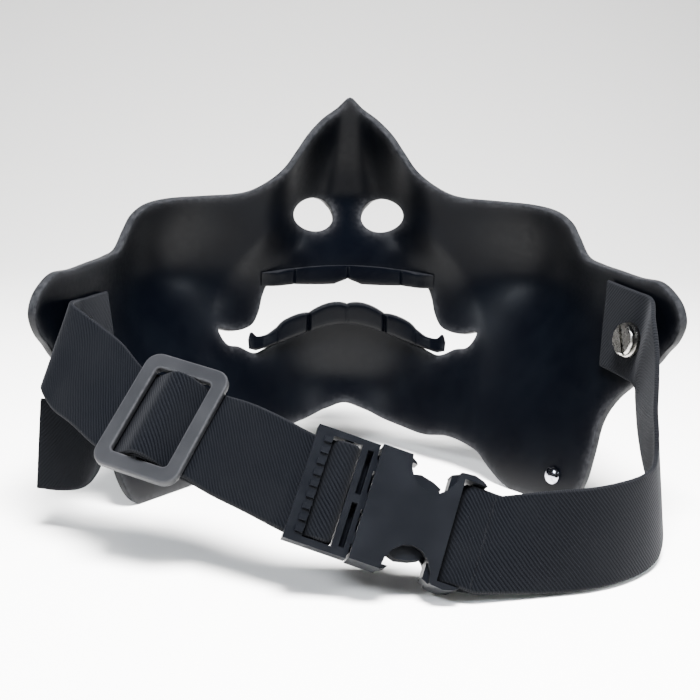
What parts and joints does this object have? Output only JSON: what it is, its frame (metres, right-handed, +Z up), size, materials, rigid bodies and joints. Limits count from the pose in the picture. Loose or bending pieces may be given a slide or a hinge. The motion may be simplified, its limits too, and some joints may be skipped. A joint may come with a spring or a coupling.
{
  "type": "samurai face guard",
  "caption": "Moulded half-face guard with nose, nostrils and toothed mouth, held by a woven elastic strap with a slider and a side-release buckle.",
  "frame": {"origin": "middle of the base, on the surface that the two lower tips of the jaw and the strap rest on", "axes": "X across the face, to the wearer's right seen from behind; +Y out through the nose; +Z up. The hollow side faces -Y"},
  "size_m": [0.175, 0.155, 0.1145],
  "materials": {
    "satin_black_plastic": "satin blue-black moulded plastic, faint grain",
    "black_elastic": "black woven elastic with a fine diagonal rib",
    "grey_satin_plastic": "mid-grey satin plastic",
    "dark_plastic": "dark grey satin plastic",
    "nickel": "nickel plate",
    "dark_chrome": "dark chrome"
  },
  "bodies": {
    "root": {"mask_shell": "satin_black_plastic", "upper_teeth": "satin_black_plastic", "lower_teeth": "satin_black_plastic", "strap_right": "black_elastic", "strap_left": "black_elastic", "slider": "grey_satin_plastic", "buckle_female": "dark_plastic", "buckle_male": "dark_plastic", "strap_screw_right": "nickel", "strap_screw_left": "nickel", "strap_post_right": "nickel", "strap_post_left": "nickel", "jaw_stud_right": "dark_chrome", "jaw_stud_left": "dark_chrome"}
  },
  "joints": []
}
